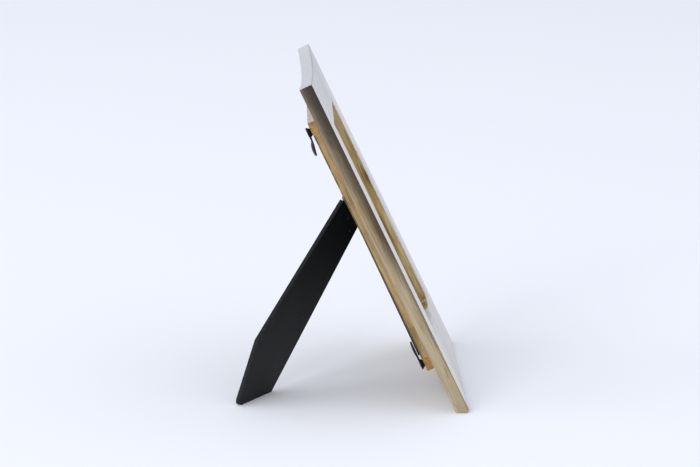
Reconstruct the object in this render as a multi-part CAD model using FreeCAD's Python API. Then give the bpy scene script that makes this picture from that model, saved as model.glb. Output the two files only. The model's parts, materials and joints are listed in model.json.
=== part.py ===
"""Easel-backed wooden picture frame for a 10 x 15 cm print, standing on its foot and its strut leg.

Row frame, millimetres: the origin is the middle of the board's level foot face, +Z up, the picture
faces -Y and +X is the viewer's right.  Everything is first built upright, with the board's back face
in the plane y = 0, z measured up the board from its rear foot arris and +y towards the back; the
whole is then leaned back onto its leg.
"""
import FreeCAD, Part
import math
import os

V = FreeCAD.Vector

# ---- driving dimensions ------------------------------------------------------------------------
LEAN = 25.4                  # degrees that the board leans back from the vertical

BOARD_WIDTH = 165.0
BOARD_HEIGHT = 219.0         # along the back face, at the two top corners
BOARD_THICKNESS = 8.0
TOP_DIP = 4.2                # sag of the concave top edge at mid width
BOARD_ARRIS = 0.7            # rounding of the long outer edges
FOOT_ROUND = 2.3             # worn rounding of the front foot arris

STILE_WIDTH = 33.0
TOP_RAIL = 34.0
BOTTOM_RAIL = 42.6
SIGHT_BEVEL = 1.0            # small bevel round the opening's front edge

SLAT_WIDTH = 8.5
SLAT_DEPTH = 5.8
SLAT_ARRIS = 0.4
SIDE_MARGIN = 22.0           # board edge to rear frame, at the sides
TOP_MARGIN = 24.0
BOTTOM_MARGIN = 25.3

GLASS_THICKNESS = 2.0
PRINT_THICKNESS = 0.3
FILLER_THICKNESS = 1.0
PANEL_THICKNESS = 2.3
PANE_CLEARANCE = 0.5         # all round, between the loose sheets and the slats
PANEL_PROUD = 1.7            # how far the panel's lower edge stands out of the rear frame

BUTTON_LENGTH = 18.5
BUTTON_WIDTH = 6.6           # of the oval finger
BUTTON_THICKNESS = 1.1
PAD_RADIUS = 3.4             # round pad that the screw goes through
NECK_WIDTH = 3.8             # between pad and finger
FINGER_START = 5.0           # from the screw to the near end of the oval finger
BUTTON_FLAT = 3.5            # flat beyond the screw, before the finger bends
DIMPLE_TOP_RADIUS = 3.0      # pressed dimple that holds the button off the slat
DIMPLE_FOOT_RADIUS = 2.1
DIMPLE_HEIGHT = 1.6
DIMPLE_GAP = 0.15
FINGER_LIFT_TOP = 1.7        # upper fingers are bent away from the panel
FINGER_LIFT_BOTTOM = -0.15   # lower fingers are bent a little towards it
# Across, from the middle, and up the board; degrees that the finger is turned in from the vertical.
UPPER_LEFT_SCREW = (-55.5, 188.7, 10.0)
UPPER_RIGHT_SCREW = (54.0, 191.0, 4.0)
LOWER_LEFT_SCREW = (-54.0, 29.4, 6.0)
LOWER_RIGHT_SCREW = (54.0, 29.4, 9.0)

SCREW_RADIUS = 1.2
SCREW_HEAD_RADIUS = 2.4      # countersunk head, flush with the button
SCREW_HEAD_HEIGHT = 1.3
SCREW_BITE = 5.2             # depth of the thread in the slat
SCREW_CLEARANCE = 0.06       # radial, between screw and button
CROSS_WIDTH = 0.7            # of the cross recess
CROSS_DEPTH = 0.6

NAIL_RADIUS = 0.6
NAIL_HEAD_RADIUS = 0.95
NAIL_HEAD_HEIGHT = 0.4
NAIL_LENGTH = 10.0
SIDE_NAIL_HEIGHTS = (62.0, 158.0)
END_NAIL_X = 22.0            # of the nails in the top and bottom slats, either side of the middle

HINGE_X = 6.4                # middle of the hinge line on the panel
HINGE_Z = 123.1
HINGE_SKEW = 45.0            # degrees that the hinge line falls towards +X
LEG_OPEN = 48.6              # degrees between leg and panel at the stop
HINGE_WIDTH = 30.0
LEAF_LENGTH = 15.0
LEAF_THICKNESS = 0.7
BARREL_RADIUS = 2.2
PIN_RADIUS = 0.8
PIN_FIT = 0.05
MIDDLE_KNUCKLE = 13.0
KNUCKLE_GAP = 0.3
LEAF_RELIEF = 0.45           # between a leaf's shoulder and the other leaf's knuckle
STOP_GAP = 0.06              # left between heel and panel leaf at the stop
LEAF_CORNER = 3.0

LEG_THICKNESS = 2.5
LEG_START = 3.2              # from the hinge pin to the leg's upper end
LEG_HALF_WIDTH = 16.5        # at the hinge line
TABLE_SIDE_TAPER = 0.076     # widening per unit of length on the side of the table foot
OTHER_SIDE_TAPER = 0.044     # and on the side of the second foot, for the frame on its side
SIDE_FOOT_START = 109.7      # from the hinge pin to the second foot's slanting edge
SIDE_FOOT_ANGLE = 26.4       # degrees between that edge and the leg's middle line
LEG_BLANK = 165.0            # length of the leg before its foot is cut to the table
LEG_CORNER = 4.0             # rounding of the tip between the two feet

RIVET_RADIUS = 1.2
RIVET_HEAD_RADIUS = 2.2
RIVET_HEAD_HEIGHT = 0.8
OUTER_RIVET = 10.5           # from the pin, two near the leaf's corners
MIDDLE_RIVET = 7.0           # from the pin, one between the knuckles
RIVET_EDGE = 5.0             # outer rivets to the leaf's ends

# ---- derived places ----------------------------------------------------------------------------
HALF_WIDTH = BOARD_WIDTH / 2
FOOT_DROP = BOARD_THICKNESS * math.tan(math.radians(LEAN))
FOOT_FLAT = (BOARD_THICKNESS / math.cos(math.radians(LEAN))
             - FOOT_ROUND / math.tan(math.radians((90 - LEAN) / 2)))

OPENING_RIGHT = HALF_WIDTH - STILE_WIDTH
OPENING_TOP = BOARD_HEIGHT - TOP_RAIL

REAR_HALF = HALF_WIDTH - SIDE_MARGIN
REAR_TOP = BOARD_HEIGHT - TOP_MARGIN
WELL_HALF = REAR_HALF - SLAT_WIDTH
WELL_TOP = REAR_TOP - SLAT_WIDTH
WELL_BOTTOM = BOTTOM_MARGIN + SLAT_WIDTH

SHEET_HALF = WELL_HALF - PANE_CLEARANCE
SHEET_TOP = WELL_TOP - PANE_CLEARANCE
SHEET_BOTTOM = WELL_BOTTOM + PANE_CLEARANCE
PRINT_BACK = GLASS_THICKNESS + PRINT_THICKNESS
FILLER_BACK = PRINT_BACK + FILLER_THICKNESS
PANEL_BACK = FILLER_BACK + PANEL_THICKNESS
PANEL_TILT = math.degrees(math.asin(PANEL_PROUD / (SHEET_TOP - SHEET_BOTTOM)))

KNUCKLE_END = HINGE_WIDTH / 2
KNUCKLE_HALF = MIDDLE_KNUCKLE / 2

# ---- placements --------------------------------------------------------------------------------
LEANED = FreeCAD.Placement(V(0, FOOT_FLAT / 2, 0), FreeCAD.Rotation(V(1, 0, 0), -LEAN))
ON_PANEL = LEANED.multiply(FreeCAD.Placement(
    V(0, 0, 0), FreeCAD.Rotation(V(1, 0, 0), PANEL_TILT), V(0, FILLER_BACK, SHEET_TOP)))

# Hinge frame: x runs from the pin towards the folded leg's tip, y away from the panel, z along the pin.
SKEW = math.radians(HINGE_SKEW)
HINGE_AXES = FreeCAD.Matrix(
    -math.sin(SKEW), 0, math.cos(SKEW), HINGE_X,
    0, 1, 0, PANEL_BACK + BARREL_RADIUS,
    -math.cos(SKEW), 0, -math.sin(SKEW), HINGE_Z,
    0, 0, 0, 1)
ON_HINGE = ON_PANEL.multiply(FreeCAD.Placement(HINGE_AXES))
ON_LEG = ON_HINGE.multiply(FreeCAD.Placement(V(0, 0, 0), FreeCAD.Rotation(V(0, 0, 1), LEG_OPEN)))

parts = {}


# ---- helpers -----------------------------------------------------------------------------------
def block(x0, x1, y0, y1, z0, z1):
    """A box between two corners."""
    return Part.makeBox(x1 - x0, y1 - y0, z1 - z0, V(x0, y0, z0))


def rod(radius, length, start, direction):
    """A cylinder from start along direction."""
    return Part.makeCylinder(radius, length, start, direction)


def face_of(points):
    """A flat face inside the closed outline through points."""
    return Part.Face(Part.makePolygon(points + [points[0]]))


def edges_where(shape, test):
    """The edges of which every vertex and the middle pass test."""
    found = []
    for edge in shape.Edges:
        middle = edge.valueAt((edge.FirstParameter + edge.LastParameter) / 2)
        if test(middle) and all(test(vertex.Point) for vertex in edge.Vertexes):
            found.append(edge)
    return found


def keep(name, shape, placement):
    """Put a finished shape in its place and file it under its node name."""
    placed = shape.copy()
    placed.Placement = placement.multiply(placed.Placement)
    parts[name] = placed


# ---- front board -------------------------------------------------------------------------------
def front_board():
    """One board: level foot, concave top edge, a bevelled rectangular opening."""
    side_view = face_of([V(-HALF_WIDTH, 0, 0), V(-HALF_WIDTH, 0, BOARD_HEIGHT),
                         V(-HALF_WIDTH, -BOARD_THICKNESS, BOARD_HEIGHT),
                         V(-HALF_WIDTH, -BOARD_THICKNESS, -FOOT_DROP)])
    board = side_view.extrude(V(BOARD_WIDTH, 0, 0))
    sweep = (HALF_WIDTH ** 2 + TOP_DIP ** 2) / (2 * TOP_DIP)
    scoop_centre = V(0, -BOARD_THICKNESS - 1, BOARD_HEIGHT - TOP_DIP + sweep)
    board = board.cut(rod(sweep, BOARD_THICKNESS + 2, scoop_centre, V(0, 1, 0)))

    front = -BOARD_THICKNESS
    foot_edge = edges_where(board, lambda p: abs(p.y - front) < 0.01 and p.z < 0)
    board = board.makeFillet(FOOT_ROUND, foot_edge)
    arrises = edges_where(board, lambda p: abs(abs(p.x) - HALF_WIDTH) < 0.01
                          and min(abs(p.y), abs(p.y - front)) < 0.01 and p.z > -FOOT_DROP)
    arrises += edges_where(board, lambda p: p.z > BOARD_HEIGHT - TOP_DIP - 0.1
                           and min(abs(p.y), abs(p.y - front)) < 0.01)
    board = board.makeFillet(BOARD_ARRIS, arrises)

    opening = block(-OPENING_RIGHT, OPENING_RIGHT, front - 1, 1, BOTTOM_RAIL, OPENING_TOP)
    board = board.cut(opening)
    sight = edges_where(board, lambda p: abs(p.y - front) < 0.01 and abs(p.x) < OPENING_RIGHT + 1
                        and BOTTOM_RAIL - 1 < p.z < OPENING_TOP + 1)
    return board.makeChamfer(SIGHT_BEVEL, sight)


# ---- rear frame --------------------------------------------------------------------------------
def slat(x0, x1, z0, z1):
    """One square-cut pine slat with eased back edges."""
    body = block(x0, x1, 0, SLAT_DEPTH, z0, z1)
    return body.makeFillet(SLAT_ARRIS, edges_where(body, lambda p: abs(p.y - SLAT_DEPTH) < 0.01))


def nail(x, z):
    """A brad driven flush through a slat into the board."""
    head = rod(NAIL_HEAD_RADIUS, NAIL_HEAD_HEIGHT, V(x, SLAT_DEPTH - NAIL_HEAD_HEIGHT, z), V(0, 1, 0))
    shank = rod(NAIL_RADIUS, NAIL_LENGTH - NAIL_HEAD_HEIGHT, V(x, SLAT_DEPTH - NAIL_LENGTH, z), V(0, 1, 0))
    return head.fuse(shank).removeSplitter()


# ---- turn buttons ------------------------------------------------------------------------------
def countersink(grow):
    """The screw's head and shank as a solid of revolution round y, grown by a radial clearance."""
    seat = DIMPLE_GAP + DIMPLE_HEIGHT + BUTTON_THICKNESS
    below = seat - SCREW_HEAD_HEIGHT
    start = SCREW_RADIUS - SCREW_BITE
    shank = rod(SCREW_RADIUS + grow, below - start, V(0, start, 0), V(0, 1, 0))
    head = Part.makeCone(SCREW_RADIUS + grow, SCREW_HEAD_RADIUS + grow, SCREW_HEAD_HEIGHT,
                         V(0, below, 0), V(0, 1, 0))
    return shank.fuse(head)


def bent_line(height, bend):
    """One face of the strip from the screw to the tip: flat, then an arc of signed radius bend."""
    run = BUTTON_LENGTH - PAD_RADIUS - BUTTON_FLAT
    turn = math.asin(run / abs(bend))
    side = math.copysign(1, bend)
    points = []
    for angle in (0, turn / 2, turn):
        points.append(V(BUTTON_FLAT + abs(bend) * math.sin(angle),
                        height + side * abs(bend) * (1 - math.cos(angle)), 0))
    return points


def turn_button(lift):
    """A bent steel strip along +x: round pad, neck and oval finger, with a dimple round the screw.

    The screw is on the y axis; y = 0 is the slat's back.
    """
    bottom = DIMPLE_HEIGHT + DIMPLE_GAP
    top = bottom + BUTTON_THICKNESS
    run = BUTTON_LENGTH - PAD_RADIUS - BUTTON_FLAT
    bend = (run ** 2 + lift ** 2) / (2 * lift)
    under = bent_line(bottom, bend)
    over = bent_line(top, bend)
    outline = Part.Wire([
        Part.makeLine(V(-PAD_RADIUS, bottom, 0), under[0]), Part.Arc(*under).toShape(),
        Part.makeLine(under[2], over[2]), Part.Arc(over[2], over[1], over[0]).toShape(),
        Part.makeLine(over[0], V(-PAD_RADIUS, top, 0)),
        Part.makeLine(V(-PAD_RADIUS, top, 0), V(-PAD_RADIUS, bottom, 0))])
    strip = Part.Face(outline).extrude(V(0, 0, 2 * PAD_RADIUS))
    strip.translate(V(0, 0, -PAD_RADIUS))

    tall = top + abs(lift) + 2
    tip = BUTTON_LENGTH - PAD_RADIUS
    oval_middle = V((FINGER_START + tip) / 2, -1, 0)
    oval = Part.Ellipse(oval_middle, (tip - FINGER_START) / 2, BUTTON_WIDTH / 2).toShape()
    oval.rotate(V(0, -1, 0), V(1, 0, 0), 90)
    plan = Part.Face(Part.Wire(oval)).extrude(V(0, tall, 0))
    plan = plan.fuse(block(0, FINGER_START + PAD_RADIUS, -1, tall - 1, -NECK_WIDTH / 2, NECK_WIDTH / 2))
    plan = plan.fuse(rod(PAD_RADIUS, tall, V(0, -1, 0), V(0, 1, 0)))
    strip = strip.common(plan)
    dimple = Part.makeCone(DIMPLE_FOOT_RADIUS, DIMPLE_TOP_RADIUS, DIMPLE_HEIGHT,
                           V(0, DIMPLE_GAP, 0), V(0, 1, 0))
    return strip.fuse(dimple).cut(countersink(SCREW_CLEARANCE)).removeSplitter()


def button_screw():
    """A countersunk wood screw with a cross recess, its axis along y."""
    start = SCREW_RADIUS - SCREW_BITE
    point = Part.makeCone(SCREW_RADIUS, 0.1, SCREW_RADIUS, V(0, start, 0), V(0, -1, 0))
    screw = countersink(0).fuse(point)
    crown = DIMPLE_GAP + DIMPLE_HEIGHT + BUTTON_THICKNESS
    arm = SCREW_HEAD_RADIUS * 0.6
    half = CROSS_WIDTH / 2
    for long_x, long_z in ((arm, half), (half, arm)):
        screw = screw.cut(block(-long_x, long_x, crown - CROSS_DEPTH, crown + 1, -long_z, long_z))
    return screw.removeSplitter()


# ---- hinge and leg, in the hinge frame ---------------------------------------------------------
def knuckle(z0, z1, bore):
    """One barrel section round the pin."""
    barrel = rod(BARREL_RADIUS, z1 - z0, V(0, 0, z0), V(0, 0, 1))
    return barrel.cut(rod(bore, z1 - z0 + 2, V(0, 0, z0 - 1), V(0, 0, 1)))


def panel_leaf():
    """The hinge leaf on the panel: it lies on the panel beyond the pin, with the two outer knuckles."""
    under = -BARREL_RADIUS
    over = under + LEAF_THICKNESS
    shoulder = -(BARREL_RADIUS + LEAF_RELIEF)
    leaf = block(-LEAF_LENGTH, shoulder, under, over, -KNUCKLE_END, KNUCKLE_END)
    corners = edges_where(leaf, lambda p: abs(p.x + LEAF_LENGTH) < 0.01
                          and abs(abs(p.z) - KNUCKLE_END) < 0.01)
    leaf = leaf.makeFillet(LEAF_CORNER, corners)
    for side in (-1, 1):
        z0, z1 = sorted((side * KNUCKLE_END, side * (KNUCKLE_HALF + KNUCKLE_GAP)))
        tongue = block(shoulder, 0, under, over, z0, z1)
        tongue = tongue.cut(rod(PIN_RADIUS, z1 - z0, V(0, 0, z0), V(0, 0, 1)))
        leaf = leaf.fuse(tongue).fuse(knuckle(z0, z1, PIN_RADIUS))
    return leaf.removeSplitter()


def heel_reach():
    """How far the leg leaf's heel passes the pin, so that it meets the panel leaf at the open stop."""
    opened = math.radians(LEG_OPEN)
    under = BARREL_RADIUS - LEAF_THICKNESS
    return (under * math.cos(opened) + under - STOP_GAP) / math.sin(opened)


def leg_leaf():
    """The hinge leaf on the leg: middle knuckle, a heel that is the open stop, and a riveted plate."""
    under = BARREL_RADIUS - LEAF_THICKNESS
    shoulder = BARREL_RADIUS + LEAF_RELIEF
    leaf = block(shoulder, LEAF_LENGTH, under, BARREL_RADIUS, -KNUCKLE_END, KNUCKLE_END)
    corners = edges_where(leaf, lambda p: abs(p.x - LEAF_LENGTH) < 0.01
                          and abs(abs(p.z) - KNUCKLE_END) < 0.01)
    leaf = leaf.makeFillet(LEAF_CORNER, corners)
    bridge = block(-heel_reach(), shoulder, under, BARREL_RADIUS, -KNUCKLE_HALF, KNUCKLE_HALF)
    barrel = knuckle(-KNUCKLE_HALF, KNUCKLE_HALF, PIN_RADIUS + PIN_FIT)
    return leaf.fuse(bridge).fuse(barrel).removeSplitter()


def rivets(places, seat, grip):
    """Domed rivets whose heads sit at height seat and whose shanks run grip below it."""
    group = []
    for x, z in places:
        head = rod(RIVET_HEAD_RADIUS, RIVET_HEAD_HEIGHT, V(x, seat, z), V(0, 1, 0))
        head = head.makeFillet(RIVET_HEAD_HEIGHT * 0.7,
                               edges_where(head, lambda p: p.y > seat + RIVET_HEAD_HEIGHT - 0.01))
        shank = rod(RIVET_RADIUS, grip, V(x, seat - grip, z), V(0, 1, 0))
        group.append(head.fuse(shank).removeSplitter())
    return Part.makeCompound(group)


def leg_plate():
    """The strut: a tapered fibreboard plate whose foot is cut level with the table when it is open."""
    under = BARREL_RADIUS - LEAF_THICKNESS - LEG_THICKNESS
    side_foot_z = -LEG_HALF_WIDTH - OTHER_SIDE_TAPER * SIDE_FOOT_START
    side_foot_end = side_foot_z + (LEG_BLANK - SIDE_FOOT_START) * math.tan(math.radians(SIDE_FOOT_ANGLE))
    outline = face_of([
        V(LEG_START, under, -LEG_HALF_WIDTH - OTHER_SIDE_TAPER * LEG_START),
        V(SIDE_FOOT_START, under, side_foot_z),
        V(LEG_BLANK, under, side_foot_end),
        V(LEG_BLANK, under, LEG_HALF_WIDTH + TABLE_SIDE_TAPER * LEG_BLANK),
        V(LEG_START, under, LEG_HALF_WIDTH + TABLE_SIDE_TAPER * LEG_START)])
    plate = outline.extrude(V(0, LEG_THICKNESS, 0))
    reach = 2 * LEG_BLANK
    below_table = block(-reach, reach, -reach, reach, -reach, 0)
    below_table.Placement = ON_LEG.inverse()
    plate = plate.cut(below_table)
    tip = max(vertex.Point.x for vertex in plate.Vertexes)
    return plate.makeFillet(LEG_CORNER, edges_where(plate, lambda p: p.x > tip - LEG_THICKNESS))


# ---- build -------------------------------------------------------------------------------------
nail_places = [(side * (REAR_HALF - SLAT_WIDTH / 2), z) for side in (-1, 1) for z in SIDE_NAIL_HEIGHTS]
nail_places += [(side * END_NAIL_X, z) for side in (-1, 1)
                for z in (REAR_TOP - SLAT_WIDTH / 2, BOTTOM_MARGIN + SLAT_WIDTH / 2)]
nails = Part.makeCompound([nail(x, z) for x, z in nail_places])

buttons = {"upper_left": (UPPER_LEFT_SCREW, FINGER_LIFT_TOP, 90),
           "upper_right": (UPPER_RIGHT_SCREW, FINGER_LIFT_TOP, 90),
           "lower_left": (LOWER_LEFT_SCREW, FINGER_LIFT_BOTTOM, -90),
           "lower_right": (LOWER_RIGHT_SCREW, FINGER_LIFT_BOTTOM, -90)}
screws = []
for place, ((x, z, turned_in), lift, heading) in buttons.items():
    turn = heading + math.copysign(turned_in, x * heading)
    seat = FreeCAD.Placement(V(x, SLAT_DEPTH, z), FreeCAD.Rotation(V(0, 1, 0), turn))
    keep("turn_button_" + place, turn_button(lift), LEANED.multiply(seat))
    screw = button_screw()
    screw.Placement = FreeCAD.Placement(V(x, SLAT_DEPTH, z), FreeCAD.Rotation())
    screws.append(screw)
screws = Part.makeCompound(screws)

top_slat = slat(-REAR_HALF, REAR_HALF, WELL_TOP, REAR_TOP)
bottom_slat = slat(-REAR_HALF, REAR_HALF, BOTTOM_MARGIN, WELL_BOTTOM)
left_slat = slat(-REAR_HALF, -WELL_HALF, WELL_BOTTOM, WELL_TOP)
right_slat = slat(WELL_HALF, REAR_HALF, WELL_BOTTOM, WELL_TOP)
keep("front_board", front_board().cut(nails), LEANED)
keep("rear_slat_left", left_slat.cut(nails), LEANED)
keep("rear_slat_right", right_slat.cut(nails), LEANED)
keep("rear_slat_top", top_slat.cut(nails).cut(screws), LEANED)
keep("rear_slat_bottom", bottom_slat.cut(nails).cut(screws), LEANED)
keep("slat_nails", nails, LEANED)
keep("button_screws", screws, LEANED)

for name, front, back in (("glass_pane", 0, GLASS_THICKNESS),
                          ("blank_print", GLASS_THICKNESS, PRINT_BACK),
                          ("filler_card", PRINT_BACK, FILLER_BACK)):
    keep(name, block(-SHEET_HALF, SHEET_HALF, front, back, SHEET_BOTTOM, SHEET_TOP), LEANED)

leaf_seat = LEAF_THICKNESS - BARREL_RADIUS
rivet_z = KNUCKLE_END - RIVET_EDGE
rivet_places = [(OUTER_RIVET, -rivet_z), (OUTER_RIVET, rivet_z), (MIDDLE_RIVET, 0)]
panel_rivets = rivets([(-x, z) for x, z in rivet_places], leaf_seat, LEAF_THICKNESS + PANEL_THICKNESS)
leg_rivets = rivets(rivet_places, BARREL_RADIUS, LEAF_THICKNESS + LEG_THICKNESS)

panel = block(-SHEET_HALF, SHEET_HALF, FILLER_BACK, PANEL_BACK, SHEET_BOTTOM, SHEET_TOP)
in_panel = panel_rivets.copy()
in_panel.Placement = FreeCAD.Placement(HINGE_AXES)
keep("back_panel", panel.cut(in_panel), ON_PANEL)
keep("hinge_leaf_panel", panel_leaf().cut(panel_rivets), ON_HINGE)
keep("panel_rivets", panel_rivets, ON_HINGE)
keep("hinge_pin", rod(PIN_RADIUS, HINGE_WIDTH, V(0, 0, -KNUCKLE_END), V(0, 0, 1)), ON_HINGE)

keep("easel_leg", leg_plate().cut(leg_rivets), ON_LEG)
keep("hinge_leaf_leg", leg_leaf().cut(leg_rivets), ON_LEG)
keep("leg_rivets", leg_rivets, ON_LEG)

os.makedirs("parts", exist_ok=True)
for name, shape in parts.items():
    shape.exportStep(os.path.join("parts", name + ".step"))
    print("%-28s %9.1f mm3  valid %s  solids %d" % (name, shape.Volume, shape.isValid(), len(shape.Solids)))
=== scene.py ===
"""A small wooden picture frame on its folding leg: finishes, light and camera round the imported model."""
import json
import math
import bpy
import numpy as np
from mathutils import Euler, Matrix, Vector


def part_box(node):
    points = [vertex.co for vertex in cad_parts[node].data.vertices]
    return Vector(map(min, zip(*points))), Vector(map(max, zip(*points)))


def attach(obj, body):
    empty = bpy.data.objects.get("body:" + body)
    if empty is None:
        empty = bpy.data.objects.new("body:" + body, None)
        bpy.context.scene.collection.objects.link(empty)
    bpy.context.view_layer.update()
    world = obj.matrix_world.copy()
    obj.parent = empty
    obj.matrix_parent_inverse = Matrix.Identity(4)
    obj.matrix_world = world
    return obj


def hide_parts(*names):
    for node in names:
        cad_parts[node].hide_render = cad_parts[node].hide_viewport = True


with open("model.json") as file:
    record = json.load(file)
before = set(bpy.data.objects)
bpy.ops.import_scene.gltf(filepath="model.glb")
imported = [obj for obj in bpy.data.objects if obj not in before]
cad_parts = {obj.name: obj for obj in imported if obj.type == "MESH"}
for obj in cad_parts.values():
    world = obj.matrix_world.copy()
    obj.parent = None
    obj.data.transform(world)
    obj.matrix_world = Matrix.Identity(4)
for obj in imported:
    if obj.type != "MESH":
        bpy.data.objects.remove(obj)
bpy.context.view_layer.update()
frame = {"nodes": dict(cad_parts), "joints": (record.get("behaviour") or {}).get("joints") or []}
MM = 0.001

# ---- where things are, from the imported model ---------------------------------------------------
joints = {joint["name"]: joint for joint in frame["joints"]}
BACK_NORMAL = Vector(joints["button_upper_left_swivel"]["axis"]).normalized()
LEAN = math.atan2(-BACK_NORMAL.z, BACK_NORMAL.y)
GLASS = 2 * MM
glass_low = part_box("glass_pane")[0]
glass_foot = (glass_low.z + GLASS * math.sin(LEAN)) / math.cos(LEAN)
REAR_ARRIS = glass_low.y - glass_foot * math.sin(LEAN)      # y of the board's rear foot arris

HALF_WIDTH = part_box("front_board")[1].x
BOARD = 8 * MM
WINDOW_SIDE = HALF_WIDTH - 33 * MM
BOTTOM_RAIL = 42.6 * MM
BOARD_HEIGHT = 219 * MM
TOP_DIP = 4.2 * MM
SLAT_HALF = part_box("rear_slat_top")[1].x
SLAT_DEPTH = 5.8 * MM
REAR_TOP = 195 * MM


# ---- shader bench ------------------------------------------------------------------------------
class Finish:
    """A material under construction: short names for the nodes that every finish here is made from."""

    def __init__(self, name):
        self.material = bpy.data.materials.new(name)
        self.material.use_nodes = True
        self.tree = self.material.node_tree
        self.shader = self.tree.nodes["Principled BSDF"]

    def node(self, kind, **settings):
        made = self.tree.nodes.new(kind)
        for key, value in settings.items():
            setattr(made, key, value)
        return made

    def feed(self, socket, value):
        """Wire a node's output into socket, or set the constant on it."""
        if isinstance(value, bpy.types.NodeSocket):
            self.tree.links.new(value, socket)
        else:
            socket.default_value = value

    def set(self, **values):
        """Principled inputs by name, with underscores for spaces."""
        for key, value in values.items():
            self.feed(self.shader.inputs[key.replace("_", " ")], value)

    def calc(self, operation, first, second=0.0, clamp=False):
        made = self.node("ShaderNodeMath", operation=operation, use_clamp=clamp)
        self.feed(made.inputs[0], first)
        self.feed(made.inputs[1], second)
        return made.outputs[0]

    def centred(self, value, width):
        """A value between 0 and 1, less a half, times width."""
        return self.calc("MULTIPLY", self.calc("SUBTRACT", value, 0.5), width)

    def ramp_up(self, value, low, high):
        """0 below low, 1 above high, smooth between; low above high turns it round."""
        made = self.node("ShaderNodeMapRange", interpolation_type="SMOOTHSTEP")
        self.feed(made.inputs["Value"], value)
        if low < high:
            ends = (low, high, 0.0, 1.0)
        else:
            ends = (high, low, 1.0, 0.0)
        for key, number in zip(("From Min", "From Max", "To Min", "To Max"), ends):
            made.inputs[key].default_value = number
        return made.outputs[0]

    def band(self, value, low, high, soft):
        """1 between low and high, with soft edges."""
        return self.calc("MULTIPLY", self.ramp_up(value, low - soft, low + soft),
                         self.ramp_up(value, high + soft, high - soft))

    def mix(self, share, first, second, blend="MIX"):
        made = self.node("ShaderNodeMix", data_type="RGBA", blend_type=blend)
        self.feed(made.inputs["Factor"], share)
        for socket, value in ((made.inputs[6], first), (made.inputs[7], second)):
            self.feed(socket, value if isinstance(value, bpy.types.NodeSocket) else (*value, 1.0))
        return made.outputs[2]

    def colours(self, share, *stops):
        """A colour ramp of (place, colour) stops."""
        made = self.node("ShaderNodeValToRGB")
        self.feed(made.inputs[0], share)
        elements = made.color_ramp.elements
        while len(elements) < len(stops):
            elements.new(0.5)
        for element, (place, colour) in zip(elements, stops):
            element.position = place
            element.color = (*colour, 1.0)
        return made.outputs[0]

    def object_point(self):
        return self.node("ShaderNodeTexCoord").outputs["Object"]

    def upright_point(self):
        """The point in the board's own frame: x across, y through the board, z up the board."""
        turned = self.node("ShaderNodeMapping", vector_type="POINT")
        self.feed(turned.inputs["Vector"], self.object_point())
        turned.inputs["Rotation"].default_value = (LEAN, 0, 0)
        shift = Euler((LEAN, 0, 0)).to_matrix() @ Vector((0, -REAR_ARRIS, 0))
        turned.inputs["Location"].default_value = shift
        return turned.outputs[0]

    def apart(self, point):
        made = self.node("ShaderNodeSeparateXYZ")
        self.feed(made.inputs[0], point)
        return made.outputs

    def stretch(self, point, scale):
        made = self.node("ShaderNodeMapping", vector_type="POINT")
        self.feed(made.inputs["Vector"], point)
        made.inputs["Scale"].default_value = scale
        return made.outputs[0]

    def along_grain(self, point, axis, share):
        """The point squeezed to a share in one axis, so that a noise comes out long in it."""
        squeeze = [1.0, 1.0, 1.0]
        squeeze[axis] = share
        return self.stretch(point, squeeze)

    def noise(self, point, scale, detail=4.0, rough=0.55, warp=0.0):
        made = self.node("ShaderNodeTexNoise")
        self.feed(made.inputs["Vector"], point)
        settings = {"Scale": scale, "Detail": detail, "Roughness": rough, "Distortion": warp}
        for key, value in settings.items():
            made.inputs[key].default_value = value
        return made.outputs[0]

    def cells(self, point, scale):
        """Distance from the nearest point of a scattered set."""
        made = self.node("ShaderNodeTexVoronoi", feature="F1")
        self.feed(made.inputs["Vector"], point)
        made.inputs["Scale"].default_value = scale
        return made.outputs["Distance"]

    def relief(self, height, depth, under=None):
        """Bump from a height between 0 and 1, depth metres tall."""
        made = self.node("ShaderNodeBump")
        made.inputs["Strength"].default_value = 1.0
        made.inputs["Distance"].default_value = depth
        self.feed(made.inputs["Height"], height)
        if under is not None:
            self.feed(made.inputs["Normal"], under)
        return made.outputs[0]


def coat(node, finish):
    """Give a CAD node its finish."""
    slots = frame["nodes"][node].data.materials
    slots.clear()
    slots.append(finish.material)


# ---- wood --------------------------------------------------------------------------------------
ACROSS = 0                    # the axis that the grain runs along
UPRIGHT = 2


def wood_figure(f, point, along, rings, fineness):
    """Growth lines: a slow noise, long along the grain, folded into lines, with fine pores on top."""
    broad = f.noise(f.along_grain(point, along, 0.045), rings, detail=3.0, warp=0.8)
    lines = f.calc("FRACT", f.calc("MULTIPLY", broad, 9.0))
    lines = f.calc("ABSOLUTE", f.calc("SUBTRACT", f.calc("MULTIPLY", lines, 2.0), 1.0))
    pores = f.noise(f.along_grain(point, along, 0.02), fineness, detail=5.0, rough=0.7)
    return broad, lines, pores


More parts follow.
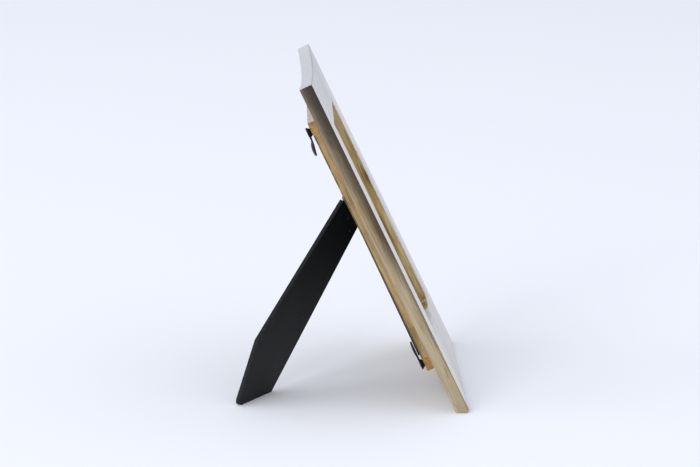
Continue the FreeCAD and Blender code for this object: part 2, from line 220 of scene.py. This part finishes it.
def painted_board():
    """The front board: worn white paint on the face, the top edge and the bevel, bare wood elsewhere."""
    f = Finish("painted_board")
    point = f.upright_point()
    x, y, z = f.apart(point)
    out = f.calc("ABSOLUTE", x)
    broad, lines, pores = wood_figure(f, point, UPRIGHT, 260.0, 1500.0)
    blotches = f.noise(f.stretch(point, (1, 1, 0.35)), 95.0, detail=3.0)

    # Painted shade and light on the bare side: darker towards the top and the front, lighter towards the
    # bottom and the back, standing in for floor light and reflection.
    depth = f.calc("DIVIDE", f.calc("ADD", y, BOARD), BOARD)
    drift = f.noise(f.stretch(point, (1, 1, 0.05)), 330.0)
    depth = f.calc("ADD", depth, f.centred(drift, 0.75))
    upper = f.colours(depth, (0.10, (0.026, 0.018, 0.013)), (0.58, (0.034, 0.025, 0.017)),
                      (0.80, (0.070, 0.059, 0.038)), (1.00, (0.150, 0.125, 0.082)))
    middle = f.colours(depth, (0.06, (0.062, 0.040, 0.023)), (0.36, (0.098, 0.068, 0.038)),
                       (0.66, (0.270, 0.205, 0.115)), (0.98, (0.370, 0.285, 0.190)))
    lower = f.colours(depth, (0.02, (0.190, 0.150, 0.090)), (0.20, (0.350, 0.290, 0.175)),
                      (0.60, (0.400, 0.330, 0.205)), (0.98, (0.430, 0.345, 0.230)))
    height = f.calc("ADD", z, f.centred(blotches, 0.04))
    shaded_side = f.mix(f.ramp_up(height, 0.212, 0.130), upper, middle)
    shaded_side = f.mix(f.ramp_up(height, 0.135, 0.050), shaded_side, lower)
    golden = f.colours(f.calc("ADD", broad, f.centred(blotches, 0.5)),
                       (0.36, (0.22, 0.115, 0.030)), (0.48, (0.46, 0.32, 0.115)),
                       (0.62, (0.62, 0.48, 0.235)))
    raw_back = f.colours(broad, (0.28, (0.30, 0.215, 0.125)), (0.72, (0.46, 0.35, 0.22)))
    inside = f.calc("MULTIPLY", f.ramp_up(out, HALF_WIDTH - 10 * MM, HALF_WIDTH - 12 * MM),
                    f.ramp_up(y, -0.02 * MM, -0.1 * MM))
    wood = f.mix(inside, shaded_side, golden)
    wood = f.mix(f.ramp_up(y, -0.12 * MM, -0.04 * MM), wood, raw_back)
    wood = f.mix(f.calc("MULTIPLY", f.ramp_up(lines, 0.45, 0.95), 0.26), wood, (0.05, 0.03, 0.015))
    wood = f.mix(f.calc("MULTIPLY", f.ramp_up(pores, 0.50, 0.68), 0.36), wood, (0.05, 0.035, 0.02))
    tint = f.ramp_up(f.noise(f.stretch(point, (1, 1, 0.25)), 240.0, detail=2.0), 0.52, 0.66)
    wood = f.mix(f.calc("MULTIPLY", tint, 0.35), wood, (0.30, 0.205, 0.085), "SOFT_LIGHT")

    wander = f.centred(f.noise(point, 420.0, detail=4.0), 0.9 * MM)
    face = f.ramp_up(y, -BOARD + 0.16 * MM, -BOARD + 0.06 * MM)
    bevel = f.calc("MULTIPLY", f.ramp_up(out, HALF_WIDTH - 12 * MM, HALF_WIDTH - 20 * MM),
                   f.ramp_up(f.calc("ADD", y, wander), -BOARD + 0.95 * MM, -BOARD + 0.65 * MM))
    smear = f.ramp_up(f.calc("ADD", x, f.calc("MULTIPLY", wander, 9.0)), 26 * MM, -4 * MM)
    smear = f.calc("SUBTRACT", f.calc("MULTIPLY", smear, 6.0 * MM), BOARD)
    smear = f.calc("SUBTRACT", smear, f.calc("ADD", y, wander))
    smear = f.calc("MULTIPLY", f.ramp_up(smear, 0.0, 0.5 * MM),
                   f.band(z, BOTTOM_RAIL - 0.4 * MM, BOTTOM_RAIL + 1.4 * MM, 0.15 * MM))
    smear = f.calc("MULTIPLY", smear, f.ramp_up(out, WINDOW_SIDE + 0.1 * MM, WINDOW_SIDE - 0.3 * MM))
    scoop = f.calc("SUBTRACT", 1.0, f.calc("POWER", f.calc("DIVIDE", out, HALF_WIDTH), 2.0))
    top_edge = f.calc("SUBTRACT", BOARD_HEIGHT, f.calc("MULTIPLY", scoop, TOP_DIP))
    below_top = f.calc("SUBTRACT", top_edge, z)
    top = f.ramp_up(f.calc("ADD", below_top, wander), 0.95 * MM, 0.55 * MM)
    paint = f.calc("MAXIMUM", f.calc("MAXIMUM", face, bevel), f.calc("MAXIMUM", top, smear))
    edge_dirt = f.noise(f.stretch(point, (1, 1, 0.4)), 900.0, detail=5.0, rough=0.65)
    corner = f.calc("MAXIMUM", f.ramp_up(out, HALF_WIDTH - 1.0 * MM, HALF_WIDTH - 0.25 * MM),
                    f.ramp_up(z, 2.2 * MM, 0.2 * MM))
    chips = f.calc("MULTIPLY", corner, f.ramp_up(edge_dirt, 0.56, 0.64))
    paint = f.calc("MULTIPLY", paint, f.calc("SUBTRACT", 1.0, chips))
    cloud = f.noise(point, 34.0, detail=5.0, rough=0.6)
    brush = f.noise(f.stretch(point, (1, 1, 0.03)), 620.0, detail=3.0, rough=0.6)
    white = f.colours(cloud, (0.30, (0.61, 0.61, 0.62)), (0.55, (0.68, 0.68, 0.685)),
                      (0.75, (0.73, 0.725, 0.715)))
    white = f.mix(f.calc("MULTIPLY", f.ramp_up(brush, 0.35, 0.75), 0.10), white, (0.46, 0.47, 0.50))
    # Cream patches at random, and a painted highlight: cream brighter than the white, strongest on the
    # outer part of the stiles' face below the top.
    thin_coat = f.noise(f.stretch(point, (1, 1, 0.16)), 70.0, detail=4.0, rough=0.6)
    stile_highlight = f.calc("MULTIPLY", f.ramp_up(out, HALF_WIDTH - 44 * MM, HALF_WIDTH - 14 * MM), 0.27)
    stile_highlight = f.calc("MULTIPLY", stile_highlight, f.ramp_up(z, 0.205, 0.180))
    cream_and_highlight = f.ramp_up(f.calc("ADD", thin_coat, stile_highlight), 0.50, 0.78)
    white = f.mix(f.calc("MULTIPLY", cream_and_highlight, 0.65), white, (0.84, 0.77, 0.70))
    white = f.mix(f.calc("MULTIPLY", top, 0.85), white, (0.47, 0.48, 0.50))
    f.set(Base_Color=f.mix(paint, wood, white), Roughness=f.calc("ADD", 0.62, f.centred(brush, 0.16)),
          Specular_IOR_Level=0.35)
    grain = f.calc("ADD", f.calc("MULTIPLY", pores, 0.6), f.calc("MULTIPLY", lines, 0.25))
    step = f.relief(paint, 0.12 * MM)
    f.set(Normal=f.relief(f.calc("ADD", grain, f.calc("MULTIPLY", brush, 0.5)), 0.09 * MM, step))
    return f


def pine(name, along):
    """Planed pine, grain ACROSS or UPRIGHT: straw to orange growth lines and dark resin streaks."""
    f = Finish(name)
    point = f.upright_point()
    x, y, z = f.apart(point)
    broad, lines, pores = wood_figure(f, point, along, 300.0, 1700.0)
    patches = f.noise(f.along_grain(point, along, 0.30), 190.0, detail=3.0, rough=0.6)
    figure = f.calc("ADD", f.calc("MULTIPLY", broad, 0.6), f.calc("MULTIPLY", patches, 0.4))
    colour = f.colours(figure, (0.38, (0.235, 0.150, 0.055)), (0.46, (0.33, 0.225, 0.095)),
                       (0.53, (0.41, 0.295, 0.135)), (0.62, (0.50, 0.385, 0.20)))
    streak = f.ramp_up(f.noise(f.along_grain(point, along, 0.06), 210.0, detail=2.0), 0.50, 0.66)
    colour = f.mix(f.calc("MULTIPLY", streak, 0.60), colour, (0.40, 0.205, 0.075))
    colour = f.mix(f.calc("MULTIPLY", f.ramp_up(lines, 0.5, 0.95), 0.28), colour, (0.17, 0.095, 0.03))
    colour = f.mix(f.calc("MULTIPLY", f.ramp_up(pores, 0.5, 0.72), 0.35), colour, (0.12, 0.07, 0.03))
    # Darker along the back arris, more so towards the bottom, and in random patches over the whole slat.
    arris = f.band(y, SLAT_DEPTH - 0.9 * MM, SLAT_DEPTH - 0.04 * MM, 0.02 * MM)
    low_down = f.calc("MULTIPLY", f.ramp_up(z, 0.150, 0.110), 0.16)
    darkening = f.ramp_up(f.calc("ADD", f.noise(point, 130.0), low_down), 0.40, 0.58)
    darkening = f.calc("MULTIPLY", f.calc("MULTIPLY", arris, darkening), 0.82)
    handled = f.ramp_up(f.noise(point, 60.0, detail=5.0, rough=0.65), 0.46, 0.66)
    darkening = f.calc("MAXIMUM", darkening, f.calc("MULTIPLY", handled, 0.28))
    colour = f.mix(darkening, colour, (0.045, 0.032, 0.018))
    if along == ACROSS:
        ends = f.ramp_up(f.calc("ABSOLUTE", x), SLAT_HALF - 0.12 * MM, SLAT_HALF - 0.03 * MM)
        ring = f.noise(f.stretch(point, (0, 1, 0.7)), 120.0, warp=0.4)
        ring = f.calc("FRACT", f.calc("MULTIPLY", ring, 11.0))
        end_grain = f.mix(f.ramp_up(ring, 0.25, 0.85), (0.42, 0.24, 0.075), (0.24, 0.125, 0.04))
        colour = f.mix(f.calc("MULTIPLY", ends, 0.8), colour, end_grain)
        # The top slat's upward face is paler, in mottled patches.
        mottle = f.noise(f.stretch(point, (0.2, 1, 1)), 400.0, detail=3.0)
        pale_top_face = f.calc("MULTIPLY", f.ramp_up(z, REAR_TOP - 0.25 * MM, REAR_TOP - 0.05 * MM),
                        f.ramp_up(mottle, 0.18, 0.60))
        colour = f.mix(f.calc("MULTIPLY", pale_top_face, 0.75), colour, (0.58, 0.545, 0.50))
    f.set(Base_Color=colour, Roughness=f.calc("ADD", 0.52, f.calc("MULTIPLY", pores, 0.18)),
          Specular_IOR_Level=0.35)
    grain = f.calc("ADD", f.calc("MULTIPLY", pores, 0.7), f.calc("MULTIPLY", lines, 0.3))
    f.set(Normal=f.relief(grain, 0.1 * MM))
    return f


# ---- board, card and paper ---------------------------------------------------------------------
def black_hardboard():
    """Black faced fibreboard: charcoal skin with a faint felt mark, scuffs and a few bare specks."""
    f = Finish("black_hardboard")
    point = f.object_point()
    cloud = f.noise(point, 26.0, detail=5.0, rough=0.6)
    felt = f.noise(point, 1900.0, detail=4.0, rough=0.7)
    colour = f.colours(cloud, (0.30, (0.0034, 0.0048, 0.0056)), (0.70, (0.0090, 0.0112, 0.0120)))
    scuffs = f.noise(f.stretch(point, (1.0, 0.12, 0.2)), 330.0, detail=4.0, rough=0.7)
    colour = f.mix(f.calc("MULTIPLY", f.ramp_up(scuffs, 0.62, 0.80), 0.4), colour, (0.055, 0.055, 0.052))
    speck_field = f.ramp_up(f.noise(point, 90.0, detail=1.0), 0.63, 0.67)
    specks = f.calc("MULTIPLY", f.ramp_up(f.cells(point, 520.0), 0.13, 0.07), speck_field)
    colour = f.mix(f.calc("MULTIPLY", specks, 0.9), colour, (0.24, 0.155, 0.07))
    f.set(Base_Color=colour, Roughness=f.calc("ADD", 0.46, f.calc("MULTIPLY", felt, 0.22)),
          Specular_IOR_Level=0.20)
    f.set(Normal=f.relief(felt, 0.05 * MM))
    return f


def card_sheet(name, pale, deep, fibre):
    """A paper or card sheet: a slow tone change under fine fibres."""
    f = Finish(name)
    point = f.object_point()
    fibres = f.noise(point, fibre, detail=5.0, rough=0.7)
    tone = f.noise(point, 18.0, detail=3.0)
    colour = f.colours(tone, (0.3, deep), (0.7, pale))
    colour = f.mix(f.calc("MULTIPLY", f.ramp_up(fibres, 0.45, 0.70), 0.18), colour, deep)
    f.set(Base_Color=colour, Roughness=0.82, Specular_IOR_Level=0.25)
    f.set(Normal=f.relief(fibres, 0.03 * MM))
    return f


def window_glass():
    """Picture glass: clear when seen square on, more of a mirror towards grazing, with a trace of dust.

    The mirror's share is 0.04 + 0.96 s^5 of the slant s, and the rest is let through by the alpha.
    """
    f = Finish("window_glass")
    mottle = f.ramp_up(f.noise(f.object_point(), 260.0, detail=6.0, rough=0.75), 0.45, 0.85)
    slant = f.node("ShaderNodeLayerWeight").outputs["Facing"]
    mirror = f.calc("ADD", f.calc("MULTIPLY", f.calc("POWER", slant, 5.0), 0.96), 0.04)
    f.set(Base_Color=f.mix(mottle, (0.93, 0.96, 0.945), (0.80, 0.80, 0.78)),
          Roughness=f.calc("ADD", 0.015, f.calc("MULTIPLY", mottle, 0.08)), Metallic=1.0,
          Alpha=f.calc("ADD", mirror, f.calc("MULTIPLY", mottle, 0.05), clamp=True))
    return f


# ---- metal -------------------------------------------------------------------------------------
def metal(name, colour, worn, roughness, wear_share, metallic):
    """Small steel parts: rolled or lacquered skin, fine scratches, and worn spots of another tone."""
    f = Finish(name)
    point = f.object_point()
    cloud = f.noise(point, 320.0, detail=4.0, rough=0.6)
    scratch = f.noise(f.stretch(point, (1.0, 0.08, 0.15)), 2600.0, detail=3.0, rough=0.7)
    worn_spots = f.ramp_up(f.noise(point, 700.0, detail=5.0, rough=0.7), 0.60, 0.72)
    worn_spots = f.calc("MULTIPLY", worn_spots, wear_share)
    tone = f.mix(f.calc("MULTIPLY", cloud, 0.5), colour, tuple(0.6 * part for part in colour))
    f.set(Base_Color=f.mix(worn_spots, tone, worn), Metallic=metallic, Specular_IOR_Level=0.3,
          Roughness=f.calc("ADD", roughness, f.centred(scratch, 0.22)))
    f.set(Normal=f.relief(f.calc("ADD", f.calc("MULTIPLY", scratch, 0.5), cloud), 0.03 * MM))
    return f


finishes = {
    "front_board": painted_board(),
    "rear_slat_left": pine("pine_upright", UPRIGHT),
    "rear_slat_top": pine("pine_across", ACROSS),
    "easel_leg": black_hardboard(),
    "glass_pane": window_glass(),
    "blank_print": card_sheet("blank_paper", (0.86, 0.86, 0.84), (0.78, 0.78, 0.76), 1500.0),
    "filler_card": card_sheet("grey_card", (0.40, 0.36, 0.29), (0.31, 0.27, 0.21), 900.0),
    "slat_nails": metal("bright_wire", (0.55, 0.54, 0.52), (0.30, 0.19, 0.11), 0.38, 0.5, 1.0),
    "hinge_leaf_leg": metal("blackened_steel", (0.16, 0.16, 0.165), (0.42, 0.40, 0.37), 0.42, 0.5, 1.0),
    "button_screws": metal("dark_screw_steel", (0.12, 0.12, 0.125), (0.40, 0.38, 0.35), 0.38, 0.5, 1.0),
    "turn_button_upper_left": metal("black_lacquer", (0.0035, 0.004, 0.005), (0.05, 0.045, 0.04),
                                    0.40, 0.25, 0.0),
}
alike = {
    "rear_slat_left": ["rear_slat_right"],
    "rear_slat_top": ["rear_slat_bottom"],
    "easel_leg": ["back_panel"],
    "hinge_leaf_leg": ["hinge_leaf_panel", "hinge_pin", "panel_rivets", "leg_rivets"],
    "turn_button_upper_left": ["turn_button_upper_right", "turn_button_lower_left",
                               "turn_button_lower_right"],
}
for node, finish in finishes.items():
    for twin in [node] + alike.get(node, []):
        coat(twin, finish)


# ---- turn buttons ------------------------------------------------------------------------------
PAD = 3.4 * MM                # radius of the pad round the screw
NECK = 1.9 * MM               # half width between pad and finger
TIP = 15.1 * MM               # from the screw to the finger's tip
FINGER_MIDDLE = 10.05 * MM    # from the screw to the middle of the finger's ellipse
FINGER_HALF = 5.05 * MM
FINGER_HALF_WIDTH = 3.3 * MM
FLAT = 3.5 * MM               # the finger bends from here on
CROWN = 2.85 * MM             # top of the pad over the slat's back
SHEET = 1.1 * MM
SINK_RADIUS = 2.46 * MM       # countersink at the crown, and at its floor
SINK_FLOOR_RADIUS = 1.2 * MM
SINK_SLOPE = 1.3 / 1.2
SLAT_GAP = 0.15 * MM          # the dimple's foot clears the slat by this
DIMPLE_FOOT_RADIUS = 2.1 * MM
DIMPLE_SLOPE = 1.6 / 0.9
DISH_START = 4.0 * MM         # the dish eases in from here over the run
DISH_RUN = 3.0 * MM
LEAST_HALF_WIDTH = 0.02 * MM  # blunts both ends
RIM_POWER = 0.25              # 1 is a round rim, 0 a square one
STATIONS = 121
ROUND = 64                    # points round each station


def turn_button(name, place, lift, dished, heading, turned_in):
    """Pressed steel turn button, one closed skin.

    Stations x run from the pad's outer end to the tip, closer together at both ends:
    x = middle - half cos u. The half width w(x) is the widest of the pad's circle, the neck and the
    finger's ellipse. Round each station the angle a gives the place across, z = w cos a, and the share
    from lower to upper face, sin a raised to the rim power with its sign kept. The upper face is the
    crown less the screw's countersink, and the lower face is the dimple's cone. Both follow the finger's
    arc, h = R - sqrt(R^2 - (x - flat)^2) with the sign of lift, and its dish, which stands
    (w / widest)^2 (1 - cos^2 a) times dished high along the middle.
    """
    u = np.linspace(0.0, math.pi, STATIONS)
    a = np.arange(ROUND) * 2 * math.pi / ROUND
    x = ((TIP - PAD) - (TIP + PAD) * np.cos(u)) / 2
    pad = np.sqrt(np.clip(PAD ** 2 - x ** 2, 0, None))
    neck = np.where((x > 0) & (x < FINGER_MIDDLE), NECK, 0)
    finger = FINGER_HALF_WIDTH * np.sqrt(np.clip(1 - ((x - FINGER_MIDDLE) / FINGER_HALF) ** 2, 0, None))
    half_width = np.maximum(np.maximum(pad, neck), np.maximum(finger, LEAST_HALF_WIDTH))
    x, a = np.meshgrid(x, a, indexing="ij")
    half_width = half_width[:, None]
    z = half_width * np.cos(a)
    r = np.hypot(x, z)
    upper = CROWN - np.clip(SINK_RADIUS - np.clip(r, SINK_FLOOR_RADIUS, None), 0, None) * SINK_SLOPE
    lower = np.clip(SLAT_GAP + (r - DIMPLE_FOOT_RADIUS) * DIMPLE_SLOPE, SLAT_GAP, CROWN - SHEET)
    run = TIP - FLAT
    radius = (run ** 2 + lift ** 2) / (2 * abs(lift))
    reach = np.clip(x - FLAT, 0, None)
    rise = math.copysign(1, lift) * (radius - np.sqrt(radius ** 2 - reach ** 2))
    ease = np.clip((x - DISH_START) / DISH_RUN, 0, 1)
    dish = dished * ease ** 2 * (3 - 2 * ease) * (half_width / FINGER_HALF_WIDTH) ** 2 * np.sin(a) ** 2
    side = np.sign(np.sin(a)) * np.abs(np.sin(a)) ** RIM_POWER
    y = (upper + lower) / 2 + (upper - lower) / 2 * side + rise + dish

    turn = math.radians(heading + math.copysign(turned_in, place[0] * heading))
    across = place[0] + x * math.cos(turn) + z * math.sin(turn)
    up = place[1] - x * math.sin(turn) + z * math.cos(turn)
    back = SLAT_DEPTH + y
    points = np.stack([across,
                       REAR_ARRIS + back * math.cos(LEAN) + up * math.sin(LEAN),
                       up * math.cos(LEAN) - back * math.sin(LEAN)], axis=-1).reshape(-1, 3)
    rows, columns = x.shape
    row, column = np.meshgrid(np.arange(rows - 1), np.arange(columns), indexing="ij")
    after = (column + 1) % columns
    quads = np.stack([row * columns + column, (row + 1) * columns + column,
                      (row + 1) * columns + after, row * columns + after], axis=-1).reshape(-1, 4)
    ends = [list(range(columns)), list(range((rows - 1) * columns, rows * columns))[::-1]]
    mesh = bpy.data.meshes.new(name)
    mesh.from_pydata(points.tolist(), [], quads.tolist() + ends)
    mesh.polygons.foreach_set("use_smooth", [True] * len(quads) + [False, False])
    mesh.materials.append(finishes["turn_button_upper_left"].material)
    piece = bpy.data.objects.new(name, mesh)
    bpy.context.scene.collection.objects.link(piece)
    return piece


for corner, place, lift, dished, heading, turned_in in (
        ("upper_left", (-55.5 * MM, 188.7 * MM), 1.7 * MM, 1.4 * MM, 90, 10),
        ("upper_right", (54.0 * MM, 191.0 * MM), 1.7 * MM, 1.4 * MM, 90, 4),
        ("lower_left", (-54.0 * MM, 29.4 * MM), -0.15 * MM, 0.5 * MM, -90, 6),
        ("lower_right", (54.0 * MM, 29.4 * MM), -0.15 * MM, 0.5 * MM, -90, 9)):
    pressed = turn_button("pressed_button_" + corner, place, lift, dished, heading, turned_in)
    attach(pressed, "button_" + corner)
    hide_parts("turn_button_" + corner)


# ---- floor, light and camera -------------------------------------------------------------------
def floor_sheet():
    """A pale level sheet, far wider than the view."""
    reach = 12.0
    mesh = bpy.data.meshes.new("studio_floor")
    mesh.from_pydata([(-reach, -reach, 0), (reach, -reach, 0), (reach, reach, 0), (-reach, reach, 0)],
                     [], [(0, 1, 2, 3)])
    sheet = bpy.data.objects.new("studio_floor", mesh)
    bpy.context.scene.collection.objects.link(sheet)
    f = Finish("pale_floor")
    haze = f.noise(f.object_point(), 1.2, detail=2.0)
    f.set(Base_Color=f.mix(haze, (0.845, 0.865, 0.905), (0.865, 0.88, 0.915)), Roughness=0.85,
          Specular_IOR_Level=0.15)
    mesh.materials.append(f.material)


def softbox(name, place, aim, size, power, colour):
    """A square area light at place, facing aim."""
    lamp = bpy.data.lights.new(name, "AREA")
    lamp.shape = "SQUARE"
    lamp.size = size
    lamp.energy = power
    lamp.color = colour
    light = bpy.data.objects.new(name, lamp)
    light.location = place
    light.rotation_euler = (Vector(aim) - Vector(place)).to_track_quat("-Z", "Y").to_euler()
    bpy.context.scene.collection.objects.link(light)


LAMP_COLOUR = (0.98, 0.985, 1.0)


def studio():
    """An even pale surround, and two wide soft lights behind, the stronger on the viewer's side."""
    world = bpy.data.worlds.new("studio_air")
    world.use_nodes = True
    back = world.node_tree.nodes["Background"]
    back.inputs["Color"].default_value = (0.90, 0.925, 1.0, 1.0)
    back.inputs["Strength"].default_value = 0.88
    scene = bpy.context.scene
    scene.world = world
    middle = (0.0, 0.05, 0.08)
    softbox("back_light", (-0.6, 4.5, 2.2), middle, 4.0, 46.0, LAMP_COLOUR)
    softbox("side_light", (-4.5, 2.5, 2.8), middle, 3.5, 160.0, LAMP_COLOUR)
    scene.view_settings.view_transform = "Standard"
    scene.view_settings.look = "None"


def camera():
    """The viewer's place: level with the frame's left side, a little above it, on a long lens."""
    lens = bpy.data.cameras.new("view_camera")
    lens.sensor_width = 36.0
    lens.lens = 123.7
    lens.clip_end = 50.0
    seat = bpy.data.objects.new("view_camera", lens)
    seat.location = (-1.4714, 0.1023, 0.4204)
    dip, swing = math.radians(12.537), math.radians(1.470)
    ahead = Vector((math.cos(dip) * math.cos(swing), -math.cos(dip) * math.sin(swing), -math.sin(dip)))
    seat.rotation_euler = ahead.to_track_quat("-Z", "Y").to_euler()
    bpy.context.scene.collection.objects.link(seat)
    bpy.context.scene.camera = seat


floor_sheet()
studio()
camera()
